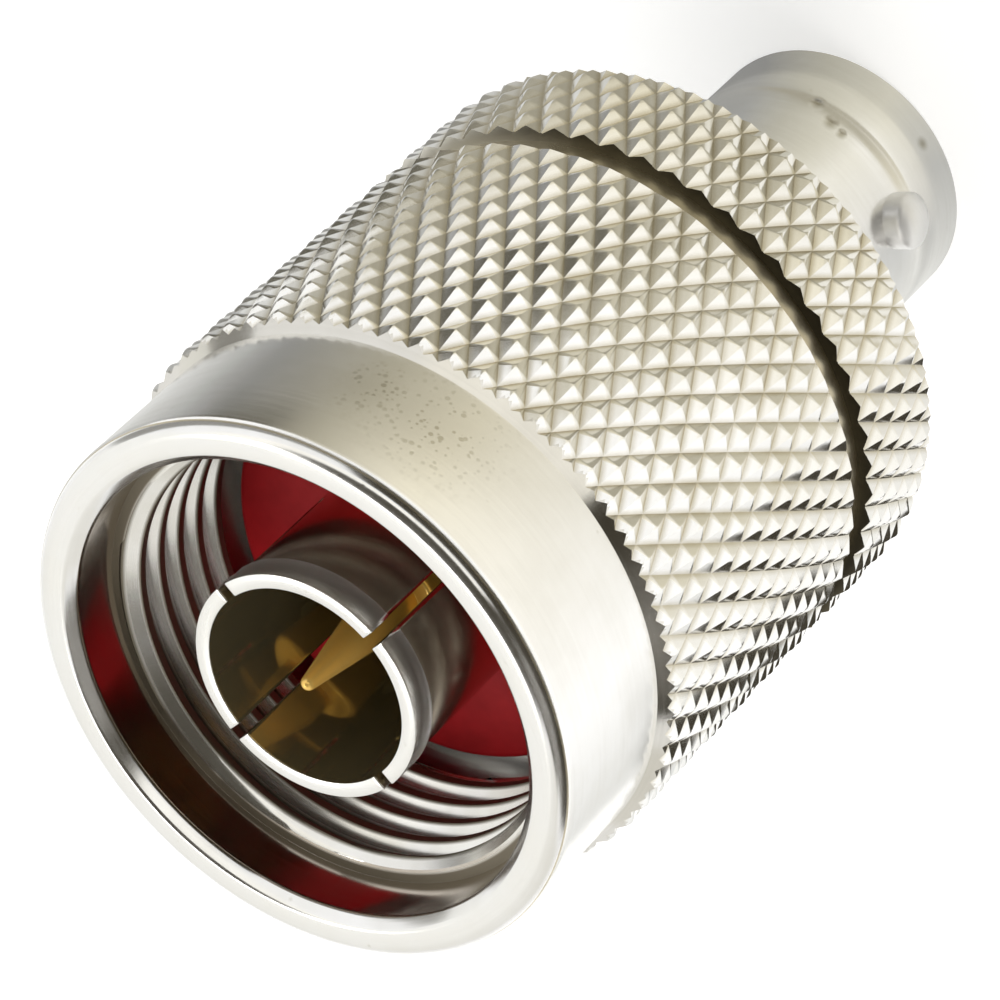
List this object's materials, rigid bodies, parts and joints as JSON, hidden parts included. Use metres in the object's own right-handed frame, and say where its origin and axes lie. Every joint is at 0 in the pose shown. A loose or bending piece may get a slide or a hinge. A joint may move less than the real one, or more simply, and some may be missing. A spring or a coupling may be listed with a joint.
{
  "type": "coaxial adapter",
  "caption": "Coaxial adapter with a knurled screw-on N plug at one end and a bayonet BNC socket at the other, used to join cables and instruments of two connector families.",
  "frame": {"origin": "centre of the BNC mouth, on the plane that the adapter stands on", "axes": "+Z along the connector axis, from the BNC mouth to the N opening; the bayonet lugs lie on +X and -X"},
  "size_m": [0.0204, 0.0204, 0.0341],
  "materials": {
    "nickel_plate": "bright nickel plate over turned brass",
    "gold_plate": "gold plate",
    "spring_steel": "drawn spring wire",
    "red_silicone": "smooth moulded silicone",
    "white_ptfe": "turned insulator plastic"
  },
  "bodies": {
    "adapter": {"adapter_body": "nickel_plate", "contact_sleeve": "nickel_plate", "centre_pin": "gold_plate", "socket_contact": "gold_plate", "upper_bead": "white_ptfe", "nose_insulator": "white_ptfe", "face_gasket": "red_silicone", "snap_ring": "spring_steel"},
    "coupling": {"coupling_nut": "nickel_plate"}
  },
  "joints": [
    {"name": "nut_swivel", "type": "hinge", "parent": "adapter", "child": "coupling", "pos_m": [0, 0, 0.0174], "axis": [0, 0, 1], "continuous": true}
  ]
}
